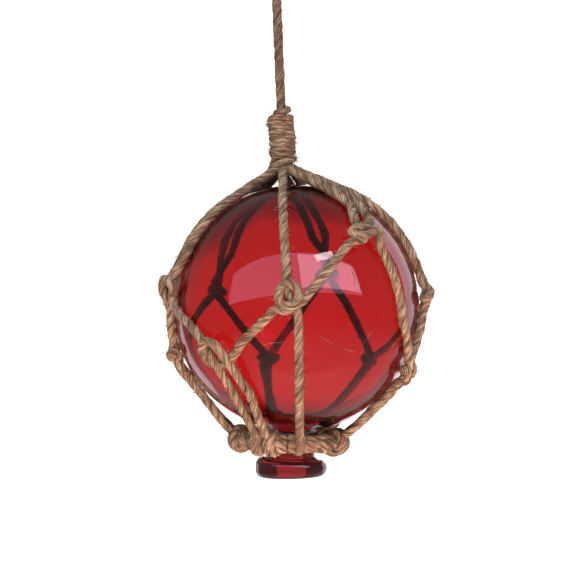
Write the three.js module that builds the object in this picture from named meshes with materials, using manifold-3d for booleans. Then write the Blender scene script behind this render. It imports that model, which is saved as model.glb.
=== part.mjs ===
// A blown glass float ball in a knotted jute net, hung by an eye tied in the same twine.
// Millimetres, +Z up. The origin is the inner top of the hanging eye, where a hook carries it.
// +X is the right and -Y the front. Longitudes run from the front towards the right.
import * as THREE from 'three';
import { mergeVertices } from 'three/addons/utils/BufferGeometryUtils.js';
import Module from 'manifold-3d';

const wasm = await Module();
wasm.setup();

// Glass
const ballDiameter = 101.6;
const glassLean = 5.4; // degrees, the foot towards the left
const neckDiameter = 19;
const neckFlare = 5; // radius of the fillet between the ball and its neck
const neckLength = 11.2; // from where the ball would end to the button
const buttonDiameter = 29.6;
const buttonThickness = 7.6;
const buttonEdgeRadius = 2.9;
const buttonCrown = 0.5; // how far the underside bulges
const buttonWedge = 3; // degrees, the rim is thicker on the left

// Twine
const twineDiameter = 3.7;
const seat = 0.3; // between touching pieces
const twineSides = 6;
const turnSides = 8; // around the turns of a knot
const turnGroove = 0.25; // depth of the groove between two turns, in twine diameters

// Net: knots by their longitude and latitude on the ball, in degrees
const crossingKnot = { name: 'front', lon: 357, lat: 5, hitch: 12 };
const upperKnots = [
  { name: 'left', lon: 279, lat: 13 },
  { name: 'back_left', lon: 222, lat: 10 },
  { name: 'back_right', lon: 163, lat: 15 },
  { name: 'right', lon: 82, lat: 2 },
  { name: 'front_right', lon: 41, lat: 32 },
];
const lowerKnots = [
  { name: 'front_left', lon: 320, lat: -19, hitch: 328 },
  { name: 'left', lon: 275, lat: -18, hitch: 271 },
  { name: 'back', lon: 197, lat: -25, hitch: 200 },
  { name: 'back_right', lon: 137, lat: -30, hitch: 140 },
  { name: 'right', lon: 70, lat: -32, hitch: 76 },
];
const knotReach = 8; // from a knot's centre to where its loose strands begin
const knotTurns = 2;
const knotPitch = 1.1; // from turn to turn, in twine diameters
const knotHalfWidth = 1.5; // in twine diameters
const knotHalfHeight = 0.85; // in twine diameters
const knotSlant = 12; // degrees that the turns are tilted

// Ring of two rounds about the neck, and the hitches that tie the net to it
const ringRadius = 19.8;
const ringShift = -1.6; // the ring is pulled off the glass axis, to the left
const ringClearance = 1.1; // between the hitches on the ring and the ball
const ringSegments = 24;
const hitchTurns = 2;
const hitchPitch = 0.9; // from turn to turn, in twine diameters
const hitchHalfDepth = 1.3; // in twine diameters
const hitchHalfThickness = 1.1; // in twine diameters
const hitchShift = 0.3; // outwards from the ring, in twine diameters
const hitchReach = 9;

// Gathering knot: the strands meet in a slanted band under a whipping
const gatherClearance = 8.5; // from the top of the ball to where the strands meet
const gatherShift = -1.8;
const gatherReach = 11.5;
const bandRadius = 4.4;
const bandSlant = 24; // degrees
const whippingHeight = 24.5;
const whippingTurns = 8;
const whippingDiameter = 11.6;
const whippingSlant = 13; // degrees
const whippingTopShift = -1.0;

// Hanging cord and the eye at its end
const plainCord = 44.85; // from the whipping's end to the knot of the eye
const eyeHeight = 26; // clear inside
const eyeWidth = 14; // clear inside
const eyeKnotHeight = 8.5;
const eyeKnotTurns = 2;
const eyeKnotHalfWidth = 1.5; // in twine diameters
const eyeKnotHalfHeight = 1.1; // in twine diameters

const twineRadius = twineDiameter / 2;
const ballRadius = ballDiameter / 2;
const netRadius = ballRadius + seat + twineRadius;
const pairOffset = twineRadius + seat / 2;
const up = new THREE.Vector3(0, 0, 1);
const radians = THREE.MathUtils.degToRad;

// Heights from the ball's centre
const buttonUndersideDrop = ballRadius + neckLength + buttonThickness;
const gatherRise = ballRadius + gatherClearance;
const whippingTop = gatherRise + whippingHeight;
const cordStart = whippingTop + twineRadius;
const eyeKnotBottom = cordStart + plainCord;
const eyeKnotTop = eyeKnotBottom + eyeKnotHeight;
const eyeTop = eyeKnotTop + eyeHeight; // the hook, and so the origin

// The ring hangs below the ball as far as its hitches need to clear the glass
const hitchInnerRadius = ringRadius - Math.abs(ringShift) + (hitchShift - hitchHalfThickness) * twineDiameter;
const ringDrop = Math.sqrt(ballRadius ** 2 - hitchInnerRadius ** 2)
  + hitchHalfDepth * twineDiameter + ringClearance;

// A straight step over the ball dips below the curve, and this length keeps it off the glass.
const longestStep = Math.sqrt(8 * netRadius * seat * 0.7);

const jute = () => new THREE.MeshStandardMaterial({ color: 0xa78460, roughness: 0.95, metalness: 0 });
const redGlass = () => new THREE.MeshStandardMaterial({
  color: 0xb3141b, roughness: 0.05, metalness: 0, transparent: true, opacity: 0.7,
});

// Everything below is worked out about the ball's centre, and the group carries it down to hang.
const float = new THREE.Group();
float.position.set(0, 0, -eyeTop);

function add(name, geometry, material) {
  const mesh = new THREE.Mesh(geometry, material);
  mesh.name = name;
  float.add(mesh);
  return mesh;
}

// A tube of twine along points, with a flat cap at each end
function tube(points, steps, diameter = twineDiameter) {
  const section = new THREE.Shape();
  for (let i = 0; i < twineSides; i += 1) {
    const angle = (i / twineSides) * 2 * Math.PI;
    const x = (diameter / 2) * Math.cos(angle);
    const y = (diameter / 2) * Math.sin(angle);
    if (i === 0) section.moveTo(x, y);
    else section.lineTo(x, y);
  }
  section.closePath();
  const path = points.length > 2
    ? new THREE.CatmullRomCurve3(points, false, 'centripetal')
    : new THREE.LineCurve3(points[0], points[1]);
  return new THREE.ExtrudeGeometry(section, { steps, bevelEnabled: false, extrudePath: path });
}

function solidOf(geometry) {
  const bare = geometry.index ? geometry.toNonIndexed() : geometry.clone();
  bare.deleteAttribute('normal');
  bare.deleteAttribute('uv');
  const merged = mergeVertices(bare, 1e-4);
  return new wasm.Manifold(new wasm.Mesh({
    numProp: 3,
    vertProperties: new Float32Array(merged.attributes.position.array),
    triVerts: new Uint32Array(merged.index.array),
  }));
}

function geometryOf(solid) {
  const mesh = solid.getMesh();
  const geometry = new THREE.BufferGeometry();
  geometry.setAttribute('position', new THREE.BufferAttribute(new Float32Array(mesh.vertProperties), 3));
  geometry.setIndex(new THREE.BufferAttribute(new Uint32Array(mesh.triVerts), 1));
  return geometry;
}

function fused(geometries) {
  return geometryOf(geometries.map(solidOf).reduce((whole, piece) => whole.add(piece)));
}

// A point over the ball, at the height of a strand that lies on the glass
function overBall(lon, lat, radius = netRadius) {
  const [a, b] = [radians(lon), radians(lat)];
  return new THREE.Vector3(Math.cos(b) * Math.sin(a), -Math.cos(b) * Math.cos(a), Math.sin(b))
    .multiplyScalar(radius);
}

// The way of a string pulled tight over the ball: straight, then round the ball, then straight
function tautPath(from, to) {
  const [start, end] = [from.clone().normalize(), to.clone().normalize()];
  const leave = Math.acos(Math.min(1, netRadius / from.length()));
  const meet = start.angleTo(end) - Math.acos(Math.min(1, netRadius / to.length()));
  const axis = start.clone().cross(end).normalize();
  const straightIn = netRadius * Math.tan(leave);
  const round = netRadius * Math.max(0, meet - leave);
  const straightOut = Math.sqrt(Math.max(0, to.lengthSq() - netRadius ** 2));
  const onBall = (angle) => start.clone().applyAxisAngle(axis, angle).multiplyScalar(netRadius);
  const at = (run) => {
    if (run < straightIn) return from.clone().lerp(onBall(leave), run / straightIn);
    if (run < straightIn + round) return onBall(leave + (run - straightIn) / netRadius);
    const left = straightIn + round + straightOut - run;
    return to.clone().lerp(onBall(meet), straightOut ? left / straightOut : 0);
  };
  return { at, length: straightIn + round + straightOut };
}

// A tube along the part of a path between two lengths along it
function stretch(path, begin, end) {
  const steps = Math.max(1, Math.ceil((end - begin) / longestStep));
  const points = Array.from({ length: steps + 1 }, (_, i) => path.at(begin + ((end - begin) * i) / steps));
  return tube(points, steps);
}

// Ends of strands that are fused into the knot, ring or gathering knot that they run into
const stubs = new Map();

function keepStub(place, stub) {
  if (!stubs.has(place)) stubs.set(place, []);
  stubs.get(place).push(stub);
}

// A strand from one place to another, whose two ends belong to what ties them
function strand(name, from, to) {
  const path = tautPath(from.point, to.point);
  const [begin, end] = [from.reach, path.length - to.reach];
  keepStub(from.place, stretch(path, 0, begin));
  keepStub(to.place, stretch(path, end, path.length));
  add(name, stretch(path, begin + seat, end - seat), jute());
}

// A knot's own directions: out of the ball, up towards the gathering knot, and sideways
function knotFrame(knot) {
  const centre = overBall(knot.lon, knot.lat);
  const out = centre.clone().normalize();
  const along = up.clone().addScaledVector(out, -up.dot(out)).normalize();
  const side = along.clone().cross(out);
  return { centre, out, along, side };
}

function atKnot(knot, sideways) {
  const { centre, side } = knotFrame(knot);
  const point = centre.clone().addScaledVector(side, sideways * pairOffset).setLength(netRadius);
  return { point, place: knot, reach: knotReach };
}

// Turns of twine side by side along a frame's own direction, as one oval body with grooves
function turnsBody({ centre, along, side, out }, count, pitch, halfWidth, halfHeight, slant) {
  const end = ((count - 1) * pitch) / 2 + twineRadius;
  const profile = [new THREE.Vector2(0, -end), new THREE.Vector2(halfWidth - twineRadius, -end)];
  for (let i = 0; i < count; i += 1) {
    const z = (i - (count - 1) / 2) * pitch;
    if (i > 0) profile.push(new THREE.Vector2(halfWidth - turnGroove * twineDiameter, z - pitch / 2));
    profile.push(new THREE.Vector2(halfWidth, z));
  }
  profile.push(new THREE.Vector2(halfWidth - twineRadius, end), new THREE.Vector2(0, end));
  const body = new THREE.LatheGeometry(profile, turnSides);
  body.rotateX(Math.PI / 2).scale(halfHeight / halfWidth, 1, 1);
  const leant = new THREE.Matrix4().set(1, 0, 0, 0, 0, 1, 0, 0, 0, Math.tan(radians(slant)), 1, 0, 0, 0, 0, 1);
  body.applyMatrix4(leant);
  body.applyMatrix4(new THREE.Matrix4().makeBasis(out, side, along).setPosition(centre));
  return body;
}

function knotSolid(knot) {
  const frame = knotFrame(knot);
  frame.centre.addScaledVector(frame.out, (knotHalfHeight - 0.5) * twineDiameter);
  return fused([...stubs.get(knot), turnsBody(
    frame,
    knotTurns,
    knotPitch * twineDiameter,
    knotHalfWidth * twineDiameter,
    knotHalfHeight * twineDiameter,
    knotSlant,
  )]);
}

// The blown ball drawn in to a neck, with a button of glass sealed on its end. It stands for a
// hollow ball, and is turned about its own axis and leant over as it sits in the net.
function glassSolid() {
  const profile = [new THREE.Vector2(0, ballRadius)];
  const neckRadius = neckDiameter / 2;
  const flareCentre = new THREE.Vector2(
    neckRadius + neckFlare,
    -Math.sqrt((ballRadius + neckFlare) ** 2 - (neckRadius + neckFlare) ** 2),
  );
  const ballEnd = Math.atan2(flareCentre.y, flareCentre.x);
  const ballSteps = 13;
  for (let i = 1; i <= ballSteps; i += 1) {
    const angle = THREE.MathUtils.lerp(Math.PI / 2, ballEnd, i / ballSteps);
    profile.push(new THREE.Vector2(Math.cos(angle), Math.sin(angle)).multiplyScalar(ballRadius));
  }
  const flareSteps = 3;
  for (let i = 1; i <= flareSteps; i += 1) {
    const angle = THREE.MathUtils.lerp(ballEnd + Math.PI, Math.PI, i / flareSteps);
    profile.push(new THREE.Vector2(Math.cos(angle), Math.sin(angle)).multiplyScalar(neckFlare).add(flareCentre));
  }
  const buttonRadius = buttonDiameter / 2;
  const buttonTop = buttonThickness - buttonUndersideDrop;
  const rim = buttonRadius - buttonEdgeRadius;
  profile.push(new THREE.Vector2(neckRadius, buttonTop));
  const edgeSteps = 2;
  for (const [height, from] of [[buttonTop - buttonEdgeRadius, 90], [buttonEdgeRadius - buttonUndersideDrop, 0]]) {
    for (let i = 0; i <= edgeSteps; i += 1) {
      const angle = radians(from - (90 * i) / edgeSteps);
      profile.push(new THREE.Vector2(rim, height)
        .add(new THREE.Vector2(Math.cos(angle), Math.sin(angle)).multiplyScalar(buttonEdgeRadius)));
    }
  }
  profile.push(new THREE.Vector2(0, -buttonUndersideDrop - buttonCrown));
  const geometry = new THREE.LatheGeometry(profile.reverse(), 32);
  geometry.rotateX(Math.PI / 2);
  const position = geometry.attributes.position;
  const middle = buttonTop - buttonThickness / 2;
  for (let i = 0; i < position.count; i += 1) {
    if (position.getZ(i) < buttonTop + seat) {
      const tilt = Math.tan(radians(buttonWedge)) * position.getX(i);
      position.setZ(i, position.getZ(i) + (position.getZ(i) < middle ? tilt : -tilt / 2));
    }
  }
  geometry.rotateY(radians(glassLean));
  return fused([geometry]);
}

// The glass axis frame, in which the ring lies level
const glassDown = new THREE.Vector3(0, 0, -1).applyAxisAngle(new THREE.Vector3(0, 1, 0), radians(glassLean));

function ringFrame(longitude) {
  const a = radians(longitude);
  const lean = (v) => v.applyAxisAngle(new THREE.Vector3(0, 1, 0), radians(glassLean));
  const out = lean(new THREE.Vector3(Math.sin(a), -Math.cos(a), 0));
  const along = lean(new THREE.Vector3(Math.cos(a), Math.sin(a), 0));
  const side = glassDown.clone();
  const centre = glassDown.clone().multiplyScalar(ringDrop).addScaledVector(out, ringRadius);
  centre.x += ringShift;
  return { centre, out, along, side };
}

const ringPlace = { name: 'foot_ring' };

function atRing(longitude, sideways) {
  const { centre, along } = ringFrame(longitude);
  const point = centre.addScaledVector(along, sideways * pairOffset);
  return { point, place: ringPlace, reach: hitchReach };
}

// Two rounds of twine, one over the other, as one ring with a waisted section
function ringSolid() {
  const waist = twineRadius - turnGroove * twineDiameter;
  const section = [];
  for (const way of [1, -1]) {
    for (const [across, rise] of [[waist, 0], [twineRadius, 0.55], [0.75 * twineRadius, 1.6], [0, 2]]) {
      section.push(new THREE.Vector2(ringRadius + way * across, -ringDrop + way * rise * twineRadius));
    }
    if (way > 0) {
      section.push(new THREE.Vector2(ringRadius - 0.75 * twineRadius, -ringDrop + 1.6 * twineRadius));
      section.push(new THREE.Vector2(ringRadius - twineRadius, -ringDrop + 0.55 * twineRadius));
    } else {
      section.push(new THREE.Vector2(ringRadius + 0.75 * twineRadius, -ringDrop - 1.6 * twineRadius));
      section.push(new THREE.Vector2(ringRadius + twineRadius, -ringDrop - 0.55 * twineRadius));
    }
  }
  section.push(section[0].clone());
  const rounds = new THREE.LatheGeometry(section, ringSegments);
  rounds.rotateX(Math.PI / 2).rotateY(radians(glassLean)).translate(ringShift, 0, 0);
  const hitches = [crossingKnot, ...lowerKnots].map((knot) => {
    const frame = ringFrame(knot.hitch);
    frame.centre.addScaledVector(frame.out, hitchShift * twineDiameter);
    return turnsBody(
      frame,
      hitchTurns,
      hitchPitch * twineDiameter,
      hitchHalfDepth * twineDiameter,
      hitchHalfThickness * twineDiameter,
      0,
    );
  });
  return fused([rounds, ...stubs.get(ringPlace), ...hitches]);
}

const gatherPlace = { name: 'gathering_knot' };
const gatherPoint = new THREE.Vector3(gatherShift, 0, gatherRise);

function atGather(knot, sideways) {
  const { side } = knotFrame(knot);
  return {
    point: gatherPoint.clone().addScaledVector(side, sideways * pairOffset),
    place: gatherPlace,
    reach: gatherReach,
  };
}

const upright = { along: up, side: new THREE.Vector3(1, 0, 0), out: new THREE.Vector3(0, -1, 0) };

function gatherSolid() {
  const middle = new THREE.Vector3((gatherShift + whippingTopShift) / 2, 0, gatherRise + whippingHeight / 2);
  const pitch = (whippingHeight - twineDiameter) / (whippingTurns - 1);
  const whipping = turnsBody(
    { centre: middle, ...upright },
    whippingTurns,
    pitch,
    whippingDiameter / 2,
    whippingDiameter / 2,
    whippingSlant,
  );
  const band = new THREE.TorusGeometry(bandRadius, twineRadius, twineSides, 12);
  band.rotateY(radians(-bandSlant)).translate(gatherShift, 0, gatherRise - seat);
  const core = new THREE.SphereGeometry(bandRadius, 8, 6);
  core.rotateX(Math.PI / 2).translate(gatherShift, 0, gatherRise);
  const neck = tube([
    new THREE.Vector3(whippingTopShift, 0, whippingTop - twineDiameter),
    new THREE.Vector3(whippingTopShift, 0, cordStart),
  ], 1);
  return fused([whipping, band, core, neck, ...stubs.get(gatherPlace)]);
}

// Upper strands: a pair from each upper knot up to the gathering knot, and one from the crossing
for (const knot of upperKnots) {
  strand(`upper_strand_${knot.name}_1`, atKnot(knot, -1), atGather(knot, -1));
  strand(`upper_strand_${knot.name}_2`, atKnot(knot, 1), atGather(knot, 1));
}
strand('upper_strand_front', atKnot(crossingKnot, 0), atGather(crossingKnot, 0));

// Mesh strands: the zigzag between the upper and the lower knots, which crosses the front strand
upperKnots.forEach((knot, i) => {
  const before = lowerKnots[i];
  const after = lowerKnots[(i + 1) % lowerKnots.length];
  strand(`mesh_strand_${knot.name}_a`, atKnot(knot, 1), atKnot(before, -1));
  if (i < upperKnots.length - 1) {
    strand(`mesh_strand_${knot.name}_b`, atKnot(knot, -1), atKnot(after, 1));
  } else {
    strand(`mesh_strand_${knot.name}_b`, atKnot(knot, -1), atKnot(crossingKnot, 1));
    strand('mesh_strand_front', atKnot(crossingKnot, -1), atKnot(after, 1));
  }
});

// Lower strands: a pair from each lower knot down to the ring, and one from the crossing
for (const knot of lowerKnots) {
  strand(`lower_strand_${knot.name}_1`, atKnot(knot, -1), atRing(knot.hitch, -1));
  strand(`lower_strand_${knot.name}_2`, atKnot(knot, 1), atRing(knot.hitch, 1));
}
strand('lower_strand_front', atKnot(crossingKnot, 0), atRing(crossingKnot.hitch, 0));

for (const knot of upperKnots) add(`upper_knot_${knot.name}`, knotSolid(knot), jute());
for (const knot of lowerKnots) add(`lower_knot_${knot.name}`, knotSolid(knot), jute());
add('crossing_knot', knotSolid(crossingKnot), jute());

add('glass_float', glassSolid(), redGlass());
add('foot_ring', ringSolid(), jute());
add('gathering_knot', gatherSolid(), jute());

// The hanging cord rises from the whipping to the knot of the eye
add('hanging_cord', tube([
  new THREE.Vector3(whippingTopShift, 0, cordStart + seat),
  new THREE.Vector3(whippingTopShift / 2, 0, (cordStart + eyeKnotBottom) / 2),
  new THREE.Vector3(0, 0, eyeKnotBottom - seat),
], 4), jute());

function eyeSolid() {
  const half = eyeWidth / 2 + twineRadius;
  const shoulder = eyeTop + twineRadius - half;
  const points = [
    new THREE.Vector3(-pairOffset, 0, eyeKnotBottom + twineRadius),
    new THREE.Vector3(-pairOffset, 0, eyeKnotTop - twineRadius),
  ];
  const arcSteps = 8;
  for (let i = 0; i <= arcSteps; i += 1) {
    const angle = Math.PI * (1.12 - (1.24 * i) / arcSteps);
    points.push(new THREE.Vector3(half * Math.cos(angle), 0, shoulder + half * Math.sin(angle)));
  }
  points.push(new THREE.Vector3(pairOffset, 0, eyeKnotTop - twineRadius));
  points.push(new THREE.Vector3(pairOffset, 0, eyeKnotBottom + twineRadius));
  const knot = turnsBody(
    { centre: new THREE.Vector3(0, 0, (eyeKnotBottom + eyeKnotTop) / 2), ...upright },
    eyeKnotTurns,
    (eyeKnotHeight - twineDiameter - 2 * seat) / (eyeKnotTurns - 1),
    eyeKnotHalfWidth * twineDiameter,
    eyeKnotHalfHeight * twineDiameter,
    knotSlant,
  );
  return fused([tube(points, 18), knot]);
}
add('hanging_eye', eyeSolid(), jute());

export default float;
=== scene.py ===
# A red blown-glass float in a knotted jute net, hung by an eye tied in the same twine.
# Lengths are in metres, as the frame is, except where a name ends in _mm.
import math
import random

import bmesh
import bpy
import numpy as np
from mathutils import Matrix, Vector


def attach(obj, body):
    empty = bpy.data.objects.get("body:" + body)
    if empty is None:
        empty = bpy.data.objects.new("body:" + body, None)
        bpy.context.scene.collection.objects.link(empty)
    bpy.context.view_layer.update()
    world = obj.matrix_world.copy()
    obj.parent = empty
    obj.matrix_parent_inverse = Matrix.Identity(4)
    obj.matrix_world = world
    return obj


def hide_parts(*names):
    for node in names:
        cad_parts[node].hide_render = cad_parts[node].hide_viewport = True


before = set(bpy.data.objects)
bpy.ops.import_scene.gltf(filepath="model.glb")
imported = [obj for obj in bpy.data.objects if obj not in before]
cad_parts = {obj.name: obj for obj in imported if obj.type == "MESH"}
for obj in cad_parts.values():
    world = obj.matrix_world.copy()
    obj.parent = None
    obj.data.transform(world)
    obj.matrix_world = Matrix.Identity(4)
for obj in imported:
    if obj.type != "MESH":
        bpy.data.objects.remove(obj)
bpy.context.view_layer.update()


# The camera stands level with the ball, square to the front of the net. The photograph leans, so
# the camera is rolled until the taut cord hangs plumb.
hang_mm = 165.0  # from the hook down to the ball's centre
ball_centre_mm = np.array([0.0, 0.0, -hang_mm])
camera_distance_mm = 750.0
camera_roll = math.radians(3.64)
camera_aside_mm = -3.47
camera_above_mm = 8.23
camera_sensor_mm = 36
camera_lens_mm = 113.4

bpy.ops.object.select_all(action="DESELECT")
roll_right = np.array([math.cos(camera_roll), 0, -math.sin(camera_roll)])
roll_up = np.array([math.sin(camera_roll), 0, math.cos(camera_roll)])
camera_place = (
    ball_centre_mm
    + camera_aside_mm * roll_right
    + camera_above_mm * roll_up
    - np.array([0, camera_distance_mm, 0])
)
bpy.ops.object.camera_add(location=camera_place / 1000, rotation=(math.pi / 2, camera_roll, 0))
camera = bpy.context.object
camera.data.sensor_width = camera_sensor_mm
camera.data.lens = camera_lens_mm
bpy.context.scene.camera = camera


# Jute twine: three plies laid up together, tan and dusty, with short fibres standing off. Every
# cord here is of this kind. A section of three round lobes runs along the cord's path, turning once
# in each lay, as the plies do.
twine_mm = 3.7
lay_mm = 15.0
step_mm = 0.8
fine_step_mm = 0.15
plies = 3
ply_share = 0.81
lobe_points = 6
lobe_reach = 84  # degrees to either side of a ply's crown
section_points = plies * lobe_points


def lobed_section(name, diameter_mm):
    """The outline of three plies that are laid hard against each other."""
    ply = diameter_mm / 2 * ply_share
    offset = diameter_mm / 2 - ply
    outline = []
    for lobe in range(plies):
        facing = lobe * 2 * math.pi / plies
        for i in range(lobe_points):
            swing = math.radians(-lobe_reach + 2 * lobe_reach * i / (lobe_points - 1))
            x = offset * math.cos(facing) + ply * math.cos(facing + swing)
            y = offset * math.sin(facing) + ply * math.sin(facing + swing)
            outline.append((x / 1000, y / 1000))
    curve = bpy.data.curves.new(name, "CURVE")
    curve.dimensions = "2D"
    spline = curve.splines.new("POLY")
    spline.points.add(len(outline) - 1)
    for point, (x, y) in zip(spline.points, outline):
        point.co = (x, y, 0, 1)
    spline.use_cyclic_u = True
    section = bpy.data.objects.new(name, curve)
    bpy.context.collection.objects.link(section)
    return section


def smooth_path(points, spacing=step_mm, closed=False):
    """Points at an even spacing on a smooth curve through the given ones."""
    points = [np.array(p, float) for p in points]
    if closed:
        around = [points[-1]] + points + points[:2]
    else:
        around = [2 * points[0] - points[1]] + points + [2 * points[-1] - points[-2]]
    dense = []
    for a, b, c, d in zip(around, around[1:], around[2:], around[3:]):
        count = max(4, int(np.linalg.norm(c - b) / fine_step_mm))
        knots = [0]
        for p, q in ((a, b), (b, c), (c, d)):
            knots.append(knots[-1] + max(1e-6, np.linalg.norm(q - p)) ** 0.5)
        t0, t1, t2, t3 = knots
        for t in np.linspace(t1, t2, count, endpoint=False):
            ab = a + (b - a) * (t - t0) / (t1 - t0)
            bc = b + (c - b) * (t - t1) / (t2 - t1)
            cd = c + (d - c) * (t - t2) / (t3 - t2)
            abc = ab + (bc - ab) * (t - t0) / (t2 - t0)
            bcd = bc + (cd - bc) * (t - t1) / (t3 - t1)
            dense.append(abc + (bcd - abc) * (t - t1) / (t2 - t1))
    dense.append(points[0] if closed else points[-1])
    dense = np.array(dense)
    run = np.concatenate([[0], np.cumsum(np.linalg.norm(np.diff(dense, axis=0), axis=1))])
    count = max(3, int(run[-1] / spacing))
    marks = np.linspace(0, run[-1], count + 1)
    if closed:
        marks = marks[:-1]
    return np.stack([np.interp(marks, run, dense[:, axis]) for axis in range(3)], axis=1)


def path_length(path):
    """The length of a path of many short steps."""
    return float(np.linalg.norm(np.diff(path, axis=0), axis=1).sum())


def runs_along(path, start=0.0):
    """How far along a path each of its points lies, counted from a start."""
    runs = [start]
    for before, after in zip(path, path[1:]):
        runs.append(runs[-1] + float(np.linalg.norm(after - before)))
    return runs


class Socket:
    """A node's output, on which Python's operators add Math nodes."""

    def __init__(self, tree, output):
        self.tree = tree
        self.output = output

    def maths(self, operation, a, b):
        return add_node(self.tree, "ShaderNodeMath", {"operation": operation}, {0: a, 1: b})

    def __add__(self, other):
        return self.maths("ADD", self, other)

    def __radd__(self, other):
        return self.maths("ADD", other, self)

    def __sub__(self, other):
        return self.maths("SUBTRACT", self, other)

    def __rsub__(self, other):
        return self.maths("SUBTRACT", other, self)

    def __mul__(self, other):
        return self.maths("MULTIPLY", self, other)

    def __rmul__(self, other):
        return self.maths("MULTIPLY", other, self)


def fill_inputs(tree, node, inputs):
    """Gives each named or numbered input of a node its value, or links it to a Socket."""
    for name, value in inputs.items():
        if isinstance(value, Socket):
            tree.links.new(value.output, node.inputs[name])
        else:
            node.inputs[name].default_value = value


def add_node(tree, kind, settings, inputs, output=None):
    """Adds a node, makes its settings, fills its inputs, and gives its first or a named output."""
    node = tree.nodes.new(kind)
    for name, value in settings.items():
        if name == "stops":
            ramp = node.color_ramp
            while len(ramp.elements) < len(value):
                ramp.elements.new(0.5)
            for element, (position, colour) in zip(ramp.elements, value):
                element.position = position
                element.color = colour
        else:
            setattr(node, name, value)
    fill_inputs(tree, node, inputs)
    if output:
        return Socket(tree, node.outputs[output])
    return Socket(tree, next(socket for socket in node.outputs if socket.enabled))


def new_material(name):
    """A new material, its node tree and its Principled shader."""
    material = bpy.data.materials.new(name)
    material.use_nodes = True
    return material, material.node_tree, material.node_tree.nodes["Principled BSDF"]


def jute_material(name, shade):
    """Jute with fine strands along the twine and broad patches, and painted shade: its plies are lighter at
    their crowns and darker in the grooves between them.
    """
    material, tree, shader = new_material(name)
    place = add_node(tree, "ShaderNodeAttribute", {"attribute_name": "fibre"}, {}, output="Vector")
    crown = add_node(tree, "ShaderNodeAttribute", {"attribute_name": "crown"}, {}, output="Fac")
    stretched = add_node(tree, "ShaderNodeMapping", {}, {"Vector": place, "Scale": (1.0, 1.0, 0.08)})
    grain = {"Vector": stretched, "Scale": 2.2, "Detail": 4.0, "Roughness": 0.75}
    strands = add_node(tree, "ShaderNodeTexNoise", {}, grain)
    patches = add_node(tree, "ShaderNodeTexNoise", {}, {"Vector": place, "Scale": 0.14, "Detail": 2.0})
    # Painted shade: the crowns of the plies are lighter and the grooves between them darker.
    tone = 0.76 * strands + 0.24 * patches + 0.035 * crown
    tints = [
        (0.38, (0.065, 0.030, 0.015)),
        (0.46, (0.190, 0.100, 0.052)),
        (0.53, (0.370, 0.225, 0.132)),
        (0.61, (0.740, 0.570, 0.410)),
    ]
    stops = [(mark, (*(shade * part for part in tint), 1)) for mark, tint in tints]
    colour = add_node(tree, "ShaderNodeValToRGB", {"stops": stops}, {"Fac": tone})
    bump = add_node(tree, "ShaderNodeBump", {}, {"Strength": 0.9, "Distance": 0.0005, "Height": strands})
    finish = {
        "Base Color": colour,
        "Normal": bump,
        "Roughness": 0.85,
        "Specular IOR Level": 0.25,
        "Sheen Weight": 0.12,
        "Sheen Roughness": 0.6,
    }
    fill_inputs(tree, shader, finish)
    return material


# The whipping, and the hanging cord with its eye, take darker copies of the same jute: painted shade for
# the less light that reaches them.
jute = jute_material("jute", 0.92)
whipping_jute_painted_shade = jute_material("whipping jute with painted shade", 0.86)
cord_jute_painted_shade = jute_material("cord jute with painted shade", 0.47)
twine_section = lobed_section("twine section", twine_mm)

fibres_per_mm = 2.2
fibre_radius_mm = 0.085
fibre_root = 0.40
fibre_reach_mm = (0.8, 3.2)
fibre_lift = (0.2, 0.8)
fibre_curl = 0.6


def loose_fibres(paths, rng):
    """Short stray fibres that leave the twine's surface at a low angle and curl."""
    per_mm = fibres_per_mm * 1.0
    fibres = []
    for path in paths:
        for _ in range(int(path_length(path) * per_mm)):
            i = rng.randrange(1, len(path) - 1)
            along = path[i + 1] - path[i - 1]
            along = along / np.linalg.norm(along) * rng.choice((-1, 1))
            aside = np.array([rng.gauss(0, 1) for _ in range(3)])
            aside -= along * aside.dot(along)
            aside /= np.linalg.norm(aside)
            reach = rng.uniform(*fibre_reach_mm)
            lift = rng.uniform(*fibre_lift)
            curl = np.cross(along, aside) * rng.uniform(-fibre_curl, fibre_curl)
            start = path[i] + aside * twine_mm * fibre_root
            middle = start + (along + aside * lift * 0.6) * reach * 0.5
            end = start + (along * 0.8 + aside * lift + curl) * reach
            fibres.append([start, middle, end])
    return fibres


def thickness(run):
    """The twine is a little thicker in one place and thinner in the next."""
    return 1 + 0.035 * math.sin(run * 0.9) + 0.03 * math.sin(run * 0.37 + 2)


def curve_mesh(name, paths, section=None, closed=False):
    """Sweeps paths with a section, turned once in each lay, or as thin as a fibre without one, and
    makes them a mesh. A closed path turns by whole plies, so that its two ends meet."""
    curve = bpy.data.curves.new(name, "CURVE")
    curve.dimensions = "3D"
    curve.twist_mode = "MINIMUM"
    if section:
        curve.bevel_mode = "OBJECT"
        curve.bevel_object = section
        curve.use_fill_caps = True
    else:
        curve.bevel_depth = fibre_radius_mm / 1000
        curve.bevel_resolution = 0
    for path in paths:
        spline = curve.splines.new("POLY")
        spline.points.add(len(path) - 1)
        spline.use_cyclic_u = closed
        whole = path_length(path)
        if closed:
            whole += float(np.linalg.norm(path[0] - path[-1]))
        turns = whole / lay_mm
        if closed:
            turns = round(turns * plies) / plies
        for spot, point, run in zip(spline.points, path, runs_along(path)):
            spot.co = (*(point / 1000), 1)
            if section:
                spot.tilt = 2 * math.pi * turns * run / whole
                spot.radius = thickness(run)
    piece = bpy.data.objects.new(name, curve)
    bpy.context.collection.objects.link(piece)
    bpy.ops.object.select_all(action="DESELECT")
    piece.select_set(True)
    bpy.context.view_layer.objects.active = piece
    bpy.ops.object.convert(target="MESH")
    return bpy.context.object


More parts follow.
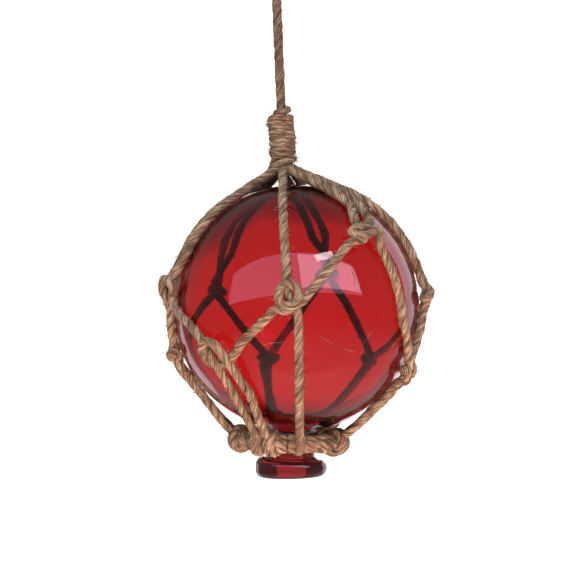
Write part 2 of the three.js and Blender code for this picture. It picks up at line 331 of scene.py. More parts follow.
def mark_fibres(piece, paths, around, seed):
    """Stores for each vertex its place around the section and along the cord, in mm, and how near
    it lies to the crown of its ply, for the painted shade in the grooves between the plies. Each path's
    pattern starts at a place of its own."""
    places = []
    for index, path in enumerate(paths):
        for run in runs_along(path, seed * 37.0 + index * 113.0):
            for k in range(around):
                angle = 2 * math.pi * k / around
                places.extend((twine_mm / 2 * math.cos(angle), twine_mm / 2 * math.sin(angle), run))
    attribute = piece.data.attributes.new("fibre", "FLOAT_VECTOR", "POINT")
    # The end caps add vertices that aren't counted here, and as many at the end go without a place.
    marked = len(places) // 3
    capped = len(piece.data.vertices) - marked
    attribute.data.foreach_set("vector", places + [0.0, 0.0, 0.0] * capped)
    # Near 1 at a ply's crown and 0 in the groove, which carries the painted shade of the grooves.
    crowns = [0.5] * len(piece.data.vertices)
    if around == section_points:
        half = (lobe_points - 1) / 2
        for i in range(marked):
            crowns[i] = 1 - (abs(i % lobe_points - half) / half) ** 2
    attribute = piece.data.attributes.new("crown", "FLOAT", "POINT")
    attribute.data.foreach_set("value", crowns)


def twine_piece(name, paths, seed, section=twine_section, closed=False, material=jute, hairs=()):
    """One finished piece of twine from the paths that it follows, with its stray fibres and hairs."""
    piece = curve_mesh(name, paths, section, closed)
    mark_fibres(piece, paths, section_points, seed)
    fibres = loose_fibres(paths, random.Random(seed)) + list(hairs)
    stray = curve_mesh(name + " fibres", fibres)
    mark_fibres(stray, fibres, len(stray.data.vertices) // sum(len(fibre) for fibre in fibres), seed + 1)
    bpy.ops.object.select_all(action="DESELECT")
    stray.select_set(True)
    piece.select_set(True)
    bpy.context.view_layer.objects.active = piece
    bpy.ops.object.join()
    bpy.ops.object.shade_smooth()
    piece.data.materials.append(material)
    return piece


# The hanging cord leaves the top of the whipping and hangs plumb from the knot of its eye. The
# photograph cuts it off, and the rest of its length is what such floats have.
gather_rise_mm = 59.3
whipping_height_mm = 24.5
whipping_top_mm = gather_rise_mm + whipping_height_mm
cord_start_mm = whipping_top_mm + twine_mm / 2
eye_height_mm = 26
eye_knot_mm = 8.5
eye_knot_bottom_mm = hang_mm - eye_height_mm - eye_knot_mm
foot_aside_mm = -1.0
seat_mm = 0.3
run_in_mm = 3

cord_points = [
    ball_centre_mm + np.array([foot_aside_mm, 0, whipping_top_mm - run_in_mm]),
    ball_centre_mm + np.array([foot_aside_mm, 0, cord_start_mm + seat_mm]),
    ball_centre_mm + np.array([foot_aside_mm / 2, 0, (cord_start_mm + eye_knot_bottom_mm) / 2]),
    ball_centre_mm + np.array([0.0, 0, eye_knot_bottom_mm - seat_mm]),
    ball_centre_mm + np.array([0.0, 0, eye_knot_bottom_mm + run_in_mm]),
]
cord_path = smooth_path(cord_points)

# With its grooves, a section of 4.1 mm over its lobes is about as thick as a round cord of 3.7 mm.
cord_section_mm = 4.1
cord_section = lobed_section("cord section", cord_section_mm)
hanging_cord = twine_piece("cord_twine", [cord_path], seed=3, section=cord_section, material=cord_jute_painted_shade)
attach(hanging_cord, "root")
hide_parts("hanging_cord")


# The eye is the end of the same twine, turned back on itself and stopped with an overhand knot. It
# is 14 mm wide inside, and a hook carries it at its inner top.
eye_width_mm = 14
eye_radius_mm = eye_width_mm / 2 + twine_mm / 2
eye_top_mm = hang_mm + twine_mm / 2
eye_arc_steps = 8
knot_middle_mm = hang_mm - eye_height_mm - eye_knot_mm / 2
knot_turn_width_mm = 4.3
knot_turn_depth_mm = 2.9
knot_turn_steps = 13


def eye_way():
    """The cord up through its knot, round the eye, and back into two turns about itself."""
    way = [(-1.9, 0, knot_middle_mm - 4.4), (-1.9, 0, knot_middle_mm), (-2.1, 0, knot_middle_mm + 4.5)]
    for i in range(eye_arc_steps + 1):
        angle = math.pi * (1.12 - 1.24 * i / eye_arc_steps)
        way.append((
            eye_radius_mm * math.cos(angle),
            0,
            eye_top_mm - eye_radius_mm + eye_radius_mm * math.sin(angle),
        ))
    way += [(2.1, 0, knot_middle_mm + 4.5), (1.9, 0, knot_middle_mm + 1)]
    for i in range(1, knot_turn_steps + 1):
        angle = 2 * math.pi * i / 8
        way.append((
            knot_turn_width_mm * math.cos(angle),
            -knot_turn_depth_mm * math.sin(angle),
            knot_middle_mm + 2.0 - 4.2 * i / knot_turn_steps,
        ))
    return [ball_centre_mm + np.array(point) for point in way]


hanging_eye = twine_piece("eye_twine", [smooth_path(eye_way())], seed=4, material=cord_jute_painted_shade)
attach(hanging_eye, "root")
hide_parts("hanging_eye")


# The float is blown as a hollow ball with a wall of about 3 mm. Where it left the pipe it narrows
# to a short neck, which is sealed with a pressed button of the same red glass.
ball_radius_mm = 50.8
wall_mm = 3.0
cavity_rise_mm = 0.4
glass_lean = math.radians(5.4)
neck_opening = math.radians(15)
neck_radius_mm = 9.5
flare_mm = 5.0
button_radius_mm = 14.8
button_edge_mm = 2.9
button_top_mm = -62.0
button_underside_mm = -69.6
button_wedge = math.radians(3)
button_crown_mm = 0.5
arc_steps = 6
ball_segments = 96
ball_rings = 72


def neck_and_button():
    """Radius and height of each ring below the ball: flare, neck, rounded button, underside."""
    flare_out = neck_radius_mm + flare_mm
    flare_down = -math.sqrt((ball_radius_mm + flare_mm) ** 2 - flare_out**2)
    first = math.atan2(-flare_down, -flare_out)
    rings = []
    for i in range(1, arc_steps + 1):
        angle = first + (math.pi - first) * i / arc_steps
        rings.append((flare_out + flare_mm * math.cos(angle), flare_down + flare_mm * math.sin(angle)))
    rings.append((neck_radius_mm, button_top_mm + 1.2))
    rings.append((neck_radius_mm + 0.4, button_top_mm + 0.4))
    rings.append((neck_radius_mm + 1.4, button_top_mm))
    rim = button_radius_mm - button_edge_mm
    for height, start in ((button_top_mm - button_edge_mm, 90), (button_underside_mm + button_edge_mm, 0)):
        for i in range(arc_steps + 1):
            angle = math.radians(start - 90 * i / arc_steps)
            out, rise = button_edge_mm * math.cos(angle), button_edge_mm * math.sin(angle)
            rings.append((rim + out, height + rise))
    rings.append((rim * 0.6, button_underside_mm - 0.7 * button_crown_mm))
    rings.append((rim * 0.25, button_underside_mm - button_crown_mm))
    return rings


def glass_shell():
    """The outside of the glass: a ball opened at its foot, drawn out to the neck and the button."""
    bpy.ops.object.select_all(action="DESELECT")
    bpy.ops.mesh.primitive_uv_sphere_add(
        segments=ball_segments, ring_count=ball_rings, radius=ball_radius_mm / 1000
    )
    ball = bpy.context.object
    ball.name = "blown_glass"
    edge_height = -ball_radius_mm * math.cos(neck_opening) / 1000
    bpy.ops.object.mode_set(mode="EDIT")
    bpy.ops.mesh.select_all(action="DESELECT")
    shape = bmesh.from_edit_mesh(ball.data)
    for vertex in shape.verts:
        vertex.select = vertex.co.z < edge_height - 1e-5
    shape.select_flush(True)
    bmesh.update_edit_mesh(ball.data)
    bpy.ops.mesh.select_mode(type="VERT")
    bpy.ops.mesh.delete(type="VERT")
    bpy.ops.mesh.select_all(action="SELECT")
    bpy.ops.mesh.region_to_loop()
    radius, height = ball_radius_mm * math.sin(neck_opening), edge_height * 1000
    for new_radius, new_height in neck_and_button():
        bpy.ops.mesh.extrude_region_move()
        grow = new_radius / radius
        bpy.ops.transform.resize(value=(grow, grow, 1), center_override=(0, 0, 0))
        bpy.ops.transform.translate(value=(0, 0, (new_height - height) / 1000))
        radius, height = new_radius, new_height
    bpy.ops.mesh.extrude_region_move()
    bpy.ops.mesh.merge(type="CENTER")
    shape = bmesh.from_edit_mesh(ball.data)
    # The button's top and underside lean apart, which makes it a wedge, thicker at the left.
    middle = (button_top_mm + button_underside_mm) / 2000
    for vertex in shape.verts:
        if vertex.co.z < (button_top_mm + 0.3) / 1000:
            tilt = math.tan(button_wedge) * vertex.co.x
            vertex.co.z += tilt if vertex.co.z < middle else -tilt / 2
    bmesh.update_edit_mesh(ball.data)
    bpy.ops.mesh.select_all(action="SELECT")
    bpy.ops.mesh.normals_make_consistent(inside=False)
    bpy.ops.object.mode_set(mode="OBJECT")
    return ball


def hollow(ball):
    """The inside of the blown ball, a little thicker walled near the neck."""
    bpy.ops.object.select_all(action="DESELECT")
    bpy.ops.mesh.primitive_uv_sphere_add(
        segments=ball_segments,
        ring_count=ball_rings,
        radius=(ball_radius_mm - wall_mm) / 1000,
        location=(0, 0, cavity_rise_mm / 1000),
    )
    cavity = bpy.context.object
    bpy.ops.object.transform_apply(location=True, rotation=True, scale=True)
    bpy.ops.object.mode_set(mode="EDIT")
    bpy.ops.mesh.select_all(action="SELECT")
    bpy.ops.mesh.flip_normals()
    bpy.ops.object.mode_set(mode="OBJECT")
    cavity.select_set(True)
    ball.select_set(True)
    bpy.context.view_layer.objects.active = ball
    bpy.ops.object.join()


# The tints by height along the glass, from 0 under the button to 1 at the crown. The dark purple
# ones from 0.905 up are a painted dark reflection over the crown, not the glass's own red.
glass_foot_mm = 70
glass_tints_and_painted_reflection = [
    (0.00, (0.190, 0.010, 0.014, 1)),
    (0.06, (0.220, 0.010, 0.014, 1)),
    (0.075, (0.600, 0.090, 0.070, 1)),
    (0.115, (0.600, 0.090, 0.070, 1)),
    (0.150, (0.300, 0.012, 0.016, 1)),
    (0.200, (0.340, 0.012, 0.016, 1)),
    (0.245, (0.640, 0.075, 0.075, 1)),
    (0.600, (0.620, 0.075, 0.075, 1)),
    (0.880, (0.560, 0.065, 0.070, 1)),
    (0.905, (0.340, 0.022, 0.036, 1)),
    (1.000, (0.330, 0.024, 0.050, 1)),
]
# The painted dark reflection over the crown comes down further on one shoulder, at the upper left.
# There a steeper height is read along a line to that shoulder.
shoulder = (-0.489, 0, 0.872)
shoulder_slope = 3
shoulder_start = 0.0853


def red_glass():
    """Clear red, deeper where the glass thickens towards its neck and button, with a painted dark
    reflection over the crown.
    """
    material, tree, shader = new_material("red glass")
    place = add_node(tree, "ShaderNodeTexCoord", {}, {}, output="Object")
    centre = tuple(ball_centre_mm / 1000)
    from_centre = add_node(tree, "ShaderNodeVectorMath", {"operation": "SUBTRACT"}, {0: place, 1: centre})
    axis = (math.sin(glass_lean), 0, math.cos(glass_lean))
    dot = {"operation": "DOT_PRODUCT"}
    along = add_node(tree, "ShaderNodeVectorMath", dot, {0: from_centre, 1: axis})
    aslant = add_node(tree, "ShaderNodeVectorMath", dot, {0: from_centre, 1: shoulder})
    steep = shoulder_slope * aslant - shoulder_start
    along = add_node(tree, "ShaderNodeMath", {"operation": "MAXIMUM"}, {0: along, 1: steep})
    waves = add_node(tree, "ShaderNodeTexNoise", {}, {"Vector": place, "Scale": 38.0, "Detail": 1.0})
    whole_mm = glass_foot_mm + ball_radius_mm
    height = (along * 1000 + glass_foot_mm) * (1 / whole_mm) + 0.05 * (waves - 0.5)
    # The top of the ramp paints a dark reflection over the crown, its edge made wavy by the same noise.
    colour = add_node(tree, "ShaderNodeValToRGB", {"stops": glass_tints_and_painted_reflection}, {"Fac": height})
    bump = add_node(tree, "ShaderNodeBump", {}, {"Strength": 0.35, "Distance": 0.0012, "Height": waves})
    fill_inputs(tree, shader, {"Base Color": colour, "Normal": bump})
    fill_inputs(tree, shader, {"Roughness": 0.0, "IOR": 1.5, "Transmission Weight": 1.0})
    return material


glass = glass_shell()
hollow(glass)
glass.data.transform(Matrix.Rotation(glass_lean, 4, "Y"))
glass.data.transform(Matrix.Translation(ball_centre_mm / 1000))
bpy.ops.object.shade_smooth_by_angle(angle=math.radians(50))
glass.data.materials.append(red_glass())
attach(glass, "root")
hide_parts("glass_float")


# The net is worked in one twine over the ball. Each knot is a hitch of one cord about the other,
# pressed flat against the glass, and the cords run taut between them.
sunk_mm = 0.08
net_radius_mm = ball_radius_mm + twine_mm / 2 - sunk_mm
pair_mm = 1.84
gather_mm = np.array([-1.8, 0, gather_rise_mm])
ring_radius_mm = 19.8
ring_drop_mm = 54.37
ring_shift_mm = np.array([-1.6, 0, 0])
pressed = 0.42

# Four knots, three in front and one at the left, are seen plainly. Both cords are laid through them
# turn by turn, by the side of the pair that each is on: mm to the right, mm up, and mm off the net.
crossing_ways = {
    0: [
        (-0.4, 11.2, 0.0), (-0.7, 8.0, 0.0), (-0.6, 3.3, 0.0), (0.5, -1.0, 0.0), (2.5, -4.3, 0.0),
        (3.0, -8.1, 0.0),
    ],
    1: [
        (13.9, 8.1, 0.0), (8.8, 2.5, 0.2), (5.1, -1.4, 1.1), (0.9, -3.2, 2.3), (-2.4, -2.5, 2.5),
        (-3.9, 0.2, 2.1), (-3.0, 3.6, 1.8), (-0.8, 5.3, 2.5), (1.7, 4.5, 2.3), (3.6, 2.0, 2.1),
        (3.4, -1.0, 2.8), (1.2, -3.8, 3.2), (-1.8, -4.6, 2.5), (-5.3, -4.1, 0.9), (-9.3, -7.3, 0.0),
    ],
}
front_right_ways = {
    1: [
        (7.6, 14.1, 0.0), (5.2, 8.1, 0.7), (2.8, 3.0, 2.1), (-2.6, 0.2, 3.0), (-6.3, 0.2, 2.8),
        (-8.4, -0.5, 1.8), (-7.4, -2.6, 2.8), (-3.2, -3.3, 3.2), (1.3, -1.5, 3.2), (4.5, -1.8, 2.8),
        (3.7, -4.5, 2.1), (3.5, -7.0, 0.9), (5.4, -10.9, 0.0),
    ],
    -1: [
        (1.8, 14.3, 0.0), (-1.2, 8.5, 0.2), (-2.4, 4.0, 0.5), (-2.2, -0.8, 0.7), (-5.1, -4.7, 2.1),
        (-8.3, -4.3, 2.1), (-10.9, -4.9, 0.7), (-15.0, -7.4, 0.0),
    ],
}
front_left_ways = {
    -1: [
        (-12.7, 12.7, 0.0), (-6.9, 8.5, 0.7), (-3.1, 3.5, 1.4), (-1.0, -2.3, 1.4), (-0.4, -8.6, 0.5),
        (-0.1, -14.2, 0.0),
    ],
    1: [
        (14.2, 6.2, 0.0), (9.5, 1.9, 0.2), (4.3, -1.9, 0.0), (-2.1, -3.4, 0.0), (-5.6, -0.5, 0.7),
        (-5.6, 3.9, 2.1), (-1.7, 7.6, 3.0), (2.4, 6.1, 3.0), (4.8, 1.5, 2.5), (6.5, -4.2, 1.8),
        (7.0, -10.9, 0.5), (7.5, -17.9, 0.0),
    ],
}
left_ways = {
    1: [(2.2, 8.5, 0.0), (1.6, 3.2, 0.7), (2.6, -2.2, 0.7), (5.0, -7.5, 0.0)],
    -1: [
        (-1.6, 8.5, 0.0), (-1.2, 4.8, 1.0), (1.0, 2.6, 2.7), (3.8, 1.2, 2.8), (5.2, -0.8, 1.5),
        (3.6, -2.8, 0.1), (0.2, -3.0, 0.0), (-2.6, -2.2, 0.6), (-4.2, 0.2, 2.2), (-3.0, 2.6, 3.6),
        (-0.6, 1.6, 4.4), (-0.4, -1.8, 4.0), (-2.0, -5.2, 1.8), (-3.4, -9.5, 0.0),
    ],
}

# The other knots are wound by rule: the side of the cord that the other winds about, the wraps that
# show in front, and how far they are twisted off square. A cord may bend through a place on its way.
crossing_knot = {"lon": 357, "lat": 5, "hitch": 12, "ways": crossing_ways}
upper_knots = [
    {"lon": 285, "lat": 13, "via": {1: (292, 27), -1: (286, 27)}, "ways": left_ways},
    {"lon": 222, "lat": 10, "via": {1: (226, 30), -1: (218, 30)}, "core": 1, "wraps": 2, "twist": 0},
    {"lon": 163, "lat": 15, "via": {1: (167, 36), -1: (159, 36)}, "core": -1, "wraps": 2, "twist": 0},
    {"lon": 82, "lat": 2, "core": -1, "wraps": 1, "twist": -35},
    {"lon": 41, "lat": 33, "ways": front_right_ways},
]
lower_knots = [
    {"lon": 320, "lat": -19, "hitch": 333, "ways": front_left_ways},
    {"lon": 275, "lat": -18, "hitch": 271, "core": 1, "wraps": 1, "twist": -40},
    {"lon": 197, "lat": -25, "hitch": 200, "core": 1, "wraps": 2, "twist": 0},
    {"lon": 137, "lat": -30, "hitch": 140, "core": -1, "wraps": 2, "twist": 0},
    {"lon": 69, "lat": -32, "via": {-1: (53, -8)}, "hitch": 76, "core": -1, "wraps": 2, "twist": 50},
]


def knot_axes(knot):
    """A knot's own directions: out of the ball, up over it, and to the right."""
    lon, lat = math.radians(knot["lon"]), math.radians(knot["lat"])
    out = np.array([math.cos(lat) * math.sin(lon), -math.cos(lat) * math.cos(lon), math.sin(lat)])
    up = np.array([0, 0, 1]) - out * out[2]
    up /= np.linalg.norm(up)
    return out, up, np.cross(up, out)


def on_net(knot, x, y, height=0.0):
    """A point beside a knot: x to its right, y up, in mm over the ball, and a height off it."""
    out, up, right = knot_axes(knot)
    away = math.hypot(x, y)
    if away < 1e-6:
        return out * (net_radius_mm + height)
    toward = (right * x + up * y) / away
    angle = away / net_radius_mm
    return (out * math.cos(angle) + toward * math.sin(angle)) * (net_radius_mm + height)


def taut(start, end, spacing=6.0):
    """Points between two others on the way of a string pulled tight over the ball."""
    a, b = start / np.linalg.norm(start), end / np.linalg.norm(end)
    leave = math.acos(min(1, net_radius_mm / np.linalg.norm(start)))
    arrive = math.acos(min(1, net_radius_mm / np.linalg.norm(end)))
    whole = math.acos(float(np.clip(a.dot(b), -1, 1)))
    across = b - a * a.dot(b)
    across /= np.linalg.norm(across)
    straight_in = net_radius_mm * math.tan(leave)
    straight_out = net_radius_mm * math.tan(arrive)
    around = net_radius_mm * (whole - leave - arrive)
    if around < 0:
        return [start + (end - start) * share for share in (1 / 3, 2 / 3)]
    total = straight_in + around + straight_out

    def over(angle):
        return net_radius_mm * (a * math.cos(angle) + across * math.sin(angle))

    def at(run):
        if run < straight_in:
            return start + (over(leave) - start) * run / straight_in
        if run <= straight_in + around:
            return over(leave + (run - straight_in) / net_radius_mm)
        return end + (over(whole - arrive) - end) * (total - run) / straight_out

    count = max(3, int(total / spacing) + 1)
    return [at(run) for run in np.linspace(0, total, count)[1:-1]]


def heading(knot, place):
    """The way from a knot to a place, as seen on the ball: to the right and up."""
    out, up, right = knot_axes(knot)
    way = np.array([place.dot(right), place.dot(up)])
    return way / np.linalg.norm(way)


def knot_ways(knot, cords):
    """Both cords' ways through a knot, from where each comes and where each goes. One cord rises
    over the glass and the other winds about it, in front and then back between it and the glass.
    The places are in twine diameters."""
    if "ways" in knot:
        return {side: [on_net(knot, *spot) for spot in way] for side, way in knot["ways"].items()}
    come, go = (heading(knot, place) for place in cords[knot["core"]])
    straight = (come - go) / np.linalg.norm(come - go)
    twist = math.radians(knot["twist"])
    axis = np.array([
        straight[0] * math.cos(twist) + straight[1] * math.sin(twist),
        straight[1] * math.cos(twist) - straight[0] * math.sin(twist),
    ])
    across = np.array([axis[1], -axis[0]])
    ways = {}
    core = [(come * 1.7, 0.15), (come * 0.7, 0.9), (go * 0.7, 0.9), (go * 1.7, 0.15)]
    ways[knot["core"]] = [
        on_net(knot, *(spot * twine_mm), height * pressed * twine_mm) for spot, height in core
    ]
    side = next(side for side in cords if side != knot["core"])
    come, go = (heading(knot, place) for place in cords[side])
    first = math.copysign(1, come.dot(across))
    last = math.copysign(1, go.dot(across))
    half_turns = 2 * knot["wraps"] - (1 if first != last else 0)
    fall = math.copysign(0.95 * half_turns / 2, come.dot(axis) - go.dot(axis))
    steps = half_turns * 4
    way = []
    for i in range(steps + 1):
        angle = math.pi * half_turns * i / steps
        x = first * math.cos(angle)
        y = fall * (0.5 - i / steps)
        spot = (across * x + axis * y) * twine_mm
        way.append(on_net(knot, *spot, (1 + math.sin(angle)) * pressed * twine_mm))
    ways[side] = way
    return ways


def ring_axes(longitude):
    """Out of the ring, along it and down, as it lies level with the leaning glass."""
    a = math.radians(longitude)
    lean = np.array(Matrix.Rotation(glass_lean, 3, "Y"))
    out = lean @ np.array([math.sin(a), -math.cos(a), 0])
    along = lean @ np.array([math.cos(a), math.sin(a), 0])
    down = lean @ np.array([0, 0, -1.0])
    return out, along, down


def ring_point(longitude, sideways):
    """Where a cord meets the outside of the ring."""
    out, along, down = ring_axes(longitude)
    return ring_shift_mm + down * ring_drop_mm + out * (ring_radius_mm + 0.5 * twine_mm) + along * sideways


# A hitch's turns, its reach over the ring, its depth, how deep the tucked one in front goes, and how
# far its turns spread, in twine diameters.
hitch_turns = 1.6
hitch_reach = 0.97
hitch_depth = 1.08
tucked_depth = 0.8
hitch_spread = 0.09


def ring_hitch(longitude, sideways, depth):
    """From the outside of the ring down, under, up its inside and over its top, and round again."""
    out, along, down = ring_axes(longitude)
    centre = ring_shift_mm + down * ring_drop_mm + out * ring_radius_mm
    way = []
    for i in range(int(hitch_turns * 10) + 1):
        angle = math.radians(35 - 36 * i)
        way.append(
            centre
            + out * hitch_reach * twine_mm * math.cos(angle)
            - down * depth * twine_mm * math.sin(angle)
            + along * sideways * (1 + hitch_spread * i)
        )
    return way


def net_paths():
    """Each cord runs from the gathering knot through two knots to the ring."""
    knots = [crossing_knot, *upper_knots, *lower_knots]
    centre = {id(knot): on_net(knot, 0, 0) for knot in knots}
    routes = []
    for i, upper in enumerate(upper_knots):
        routes.append([(upper, 1), (lower_knots[i], -1)])
        if i < len(upper_knots) - 1:
            routes.append([(upper, -1), (lower_knots[i + 1], 1)])
    routes.append([(upper_knots[-1], -1), (crossing_knot, 1), (lower_knots[0], 1)])
    routes.append([(crossing_knot, 0)])
    ends, cords_at = [], {}
    for route in routes:
        first, side = route[0]
        begin = gather_mm + knot_axes(first)[2] * side * pair_mm
        last, side = route[-1]
        end = ring_point(last["hitch"], side * pair_mm)
        ends.append((begin, end))
        places = [begin, *(centre[id(knot)] for knot, side in route), end]
        for (knot, side), before, after in zip(route, places, places[2:]):
            cords_at.setdefault(id(knot), {})[side] = (before, after)
    ways = {id(knot): knot_ways(knot, cords_at[id(knot)]) for knot in knots}
    paths = []
    for route, (begin, end) in zip(routes, ends):
        points = [begin]
        for knot, side in route:
            if side in knot.get("via", {}):
                lon, lat = knot["via"][side]
                halfway = on_net({"lon": lon, "lat": lat}, 0, 0)
                points += taut(points[-1], halfway) + [halfway]
            way = ways[id(knot)][side]
            points += taut(points[-1], way[0]) + way
        points += taut(points[-1], end)
        last, side = route[-1]
        depth = tucked_depth if last is crossing_knot else hitch_depth
        points += ring_hitch(last["hitch"], side * pair_mm, depth)
        paths.append(smooth_path([ball_centre_mm + point for point in points]))
    return paths


# A few longer hairs have come off the twine and lie on the glass in front. Their places are
# longitudes and latitudes on the ball.
hair_lift_mm = 0.15
hair_places = [
    [(10, -13), (15, -16), (21, -19), (27, -21)],
    [(30, -22), (31, -17), (35, -12)],
    [(50, -20), (53, -17), (61, -15)],
    [(53, -22), (59, -19), (67, -18)],
    [(337, 22), (339, 20), (343, 19)],
    [(312, -10), (314, -8), (315, -6)],
    [(27, 16), (28, 12), (27, 9)],
    [(343, -15), (348, -14), (353, -14)],
]


def glass_hairs():
    """The hairs' ways, just off the glass."""
    lie = (ball_radius_mm + hair_lift_mm) / net_radius_mm
    hairs = []
    for places in hair_places:
        hairs.append([ball_centre_mm + on_net({"lon": lon, "lat": lat}, 0, 0) * lie for lon, lat in places])
    return hairs


net_nodes = [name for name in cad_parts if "strand" in name or "knot" in name]
net_nodes = sorted(set(net_nodes) - {"gathering_knot"})
net = twine_piece("net_twine", net_paths(), seed=11, hairs=glass_hairs())
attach(net, "root")
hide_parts(*net_nodes)


# Three rounds of twine are laid together about the neck, below the widest part of the net, two one
# over the other and the third outside them. The net's ends are hitched over all of them.
ring_twine_mm = 3.9
ring_lift_mm = 0.48 * ring_twine_mm
ring_rounds_mm = [(-ring_lift_mm, -0.3), (ring_lift_mm, -0.3), (0.0, 0.9)]
ring_points = 24
ring_wander_mm = 0.25


def ring_round(rise, spread):
    """One round that lies lower than the ring's middle by its rise, and wanders a little."""
    points = []
    for i in range(ring_points):
        out, along, down = ring_axes(i * 360 / ring_points)
        wander = ring_wander_mm * math.sin(i * 2.1 + rise)
        height = ring_drop_mm + rise + wander
        reach = ring_radius_mm + spread + wander * 0.6
        points.append(ball_centre_mm + ring_shift_mm + down * height + out * reach)
    return smooth_path(points, closed=True)


ring_section = lobed_section("ring section", ring_twine_mm)
foot_ring = twine_piece(
    "ring_twine",
    [ring_round(rise, spread) for rise, spread in ring_rounds_mm],
    seed=21,
    section=ring_section,
    closed=True,
)
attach(foot_ring, "root")
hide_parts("foot_ring")


# Above the ball the strands are bound together: a slanted band round their base, then a whipping
# of close turns, and a last turn that climbs to the cord.
whipping_mm = 3.0
whipping_turns = 8
turn_steps = 12
first_angle = math.radians(200)
band_radius_mm = 4.7
band_aside_mm = -1.9
band_rise_mm = 0.8
band_slant = math.radians(20)
band_end = 4
turns_aside_mm = -2.0
turns_rise_mm = 3.2
turns_height_mm = 16.0
turns_radius_mm = 4.2
turns_play_mm = 0.2
turns_bow_mm = 0.7
turns_tilt_mm = 0.6
climb_steps = 14
climb_gap_mm = 0.2
climb_height_mm = 3.4
climb_radius_mm = 4.0
climb_draw_mm = 1.9
climb_aside_mm = 0.9
climb_tilt_mm = 1.3
bound_strand_count = 5
bound_radius_mm = 1.9
bound_top_aside_mm = -1.3
bound_top_drop_mm = 4


def turn_point(i, radius, aside, rise, tilt):
    """A place on a turn: its radius, how far aside and above the strands' meeting, and its tilt."""
    angle = 2 * math.pi * i / turn_steps + first_angle
    across = radius * math.sin(angle)
    return across + aside, -radius * math.cos(angle), gather_rise_mm + rise + tilt * math.sin(angle)


def whipping_way():
    """The band, the whipping's turns up to its top, and the climb to the cord."""
    slope = band_radius_mm * math.tan(band_slant)
    way = []
    for i in range(turn_steps + band_end):
        way.append(turn_point(i, band_radius_mm, band_aside_mm, band_rise_mm, slope))
    steps = whipping_turns * turn_steps
    for i in range(band_end, steps + 1):
        share = i / steps
        radius = turns_radius_mm + turns_play_mm * math.sin(i * 0.9)
        aside = turns_aside_mm + turns_bow_mm * math.sin(math.pi * share)
        rise = turns_rise_mm + turns_height_mm * share
        way.append(turn_point(i, radius, aside, rise, turns_tilt_mm))
    for i in range(1, climb_steps + 1):
        share = i / climb_steps
        radius = climb_radius_mm - climb_draw_mm * share**2
        aside = turns_aside_mm + climb_aside_mm * share
        rise = turns_rise_mm + turns_height_mm + climb_gap_mm + climb_height_mm * share
        way.append(turn_point(i, radius, aside, rise, climb_tilt_mm))
    return [ball_centre_mm + np.array(point) for point in way]


def bound_strands():
    """Strands of the net inside the whipping, of which only the ends are seen."""
    ways = []
    for i in range(bound_strand_count):
        angle = 2 * math.pi * i / bound_strand_count
        aside = np.array([bound_radius_mm * math.cos(angle), bound_radius_mm * math.sin(angle), 0])
        foot = ball_centre_mm + gather_mm + aside * 0.9
        top_middle = np.array([bound_top_aside_mm, 0, whipping_top_mm - bound_top_drop_mm])
        top = ball_centre_mm + top_middle + aside * 0.8
        ways.append(smooth_path([foot, (foot + top) / 2, top]))
    return ways


whipping_section = lobed_section("whipping section", whipping_mm)
gathering_knot = twine_piece(
    "whipping_twine",
    [smooth_path(whipping_way()), *bound_strands()],
    seed=31,
    section=whipping_section,
    material=whipping_jute_painted_shade,
)
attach(gathering_knot, "root")
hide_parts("gathering_knot")

# The sections have all been swept, and are no pieces of their own.
for section in (twine_section, cord_section, whipping_section, ring_section):
    bpy.data.objects.remove(section)


# The float hangs before a lit white wall, over a pale floor. In front of it are a wide soft box, one
# over that one's right half and a small bright one at the top, which the glass reflects. A tall box
# at the right and a strip at the left stand behind it and light its edges. Two fills light the twine.
floor_size = 30
floor_drop = 0.9
wall_size = 1.7
wall_distance = 3


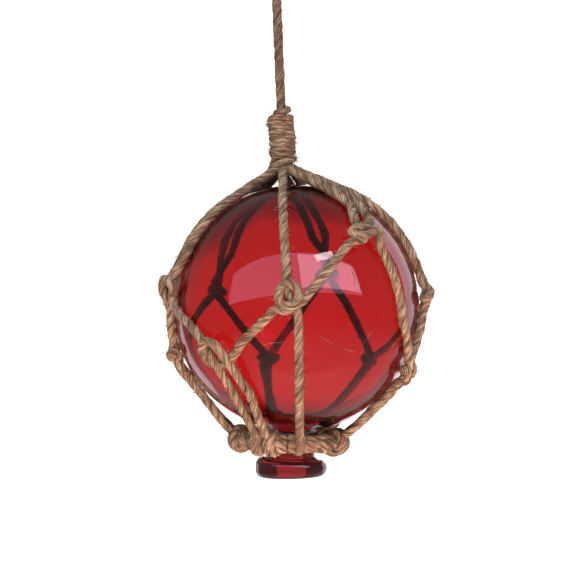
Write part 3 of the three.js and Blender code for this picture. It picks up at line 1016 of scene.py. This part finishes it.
def backdrop():
    """The floor, and the wall that glows evenly behind the ball."""
    bpy.ops.object.select_all(action="DESELECT")
    bpy.ops.mesh.primitive_plane_add(size=floor_size, location=(0, 0, -floor_drop))
    floor = bpy.context.object
    floor.name = "floor"
    material, tree, shader = new_material("pale floor")
    fill_inputs(tree, shader, {"Base Color": (0.85, 0.85, 0.85, 1), "Roughness": 0.9})
    floor.data.materials.append(material)
    behind = (0, wall_distance, -hang_mm / 1000)
    bpy.ops.mesh.primitive_plane_add(size=wall_size, location=behind, rotation=(math.pi / 2, 0, 0))
    wall = bpy.context.object
    wall.name = "wall"
    material, tree, shader = new_material("lit wall")
    fill_inputs(tree, shader, {"Base Color": (0.9, 0.9, 0.9, 1), "Roughness": 0.9})
    fill_inputs(tree, shader, {"Emission Color": (1, 1, 1, 1), "Emission Strength": 1.0})
    wall.data.materials.append(material)


def soft_box(name, place, size, watts, colour=(1, 1, 1), facing=None, unseen=()):
    """A soft box at a place about the ball's centre, turned to the ball unless it faces elsewhere.
    The camera never sees it, and nor do the kinds of ray that are named as unseen."""
    place = Vector(place)
    facing = Vector(facing) if facing else -place
    turn = facing.to_track_quat("-Z", "Y").to_euler()
    bpy.ops.object.light_add(type="AREA", location=place + Vector(ball_centre_mm / 1000), rotation=turn)
    light = bpy.context.object
    light.name = name
    light.data.shape = "RECTANGLE"
    light.data.size, light.data.size_y = size
    light.data.energy = watts
    light.data.color = colour
    light.visible_camera = False
    for kind in unseen:
        setattr(light, "visible_" + kind, False)


backdrop()
ahead = {"facing": (0, 1, 0), "unseen": ["diffuse"]}
soft_box("front box", (-0.04, -0.80, 0.61), (3.2, 0.84), 14, (0.80, 0.66, 1.0), **ahead)
soft_box("right sheen", (0.77, -0.78, 0.60), (1.40, 0.69), 11, (0.90, 0.80, 1.0), **ahead)
soft_box("small box", (0.58, -0.76, 0.96), (0.40, 0.16), 2.2, (0.92, 0.95, 1.0), unseen=["diffuse"])
soft_box("right box", (0.82, 1.26, 0.05), (1.5, 2.6), 16, (1.0, 0.86, 0.97), unseen=["transmission"])
sides = ["transmission", "diffuse"]
soft_box("left strip", (-0.88, 1.12, -0.38), (0.34, 0.75), 1.0, (0.95, 0.85, 1.0), unseen=sides)
fills = ["glossy", "transmission"]
soft_box("front fill", (-0.30, -0.80, 0.92), (1.4, 0.9), 11, unseen=fills)
soft_box("low fill", (0.10, -0.60, -0.50), (0.9, 0.5), 8, (1.0, 0.66, 0.50), unseen=fills)

# A dim grey room shows in the glass beside the boxes.
world = bpy.data.worlds.new("room")
world.use_nodes = True
background = world.node_tree.nodes["Background"]
fill_inputs(world.node_tree, background, {"Color": (0.5, 0.5, 0.5, 1), "Strength": 0.5})
bpy.context.scene.world = world
bpy.context.scene.view_settings.view_transform = "Standard"
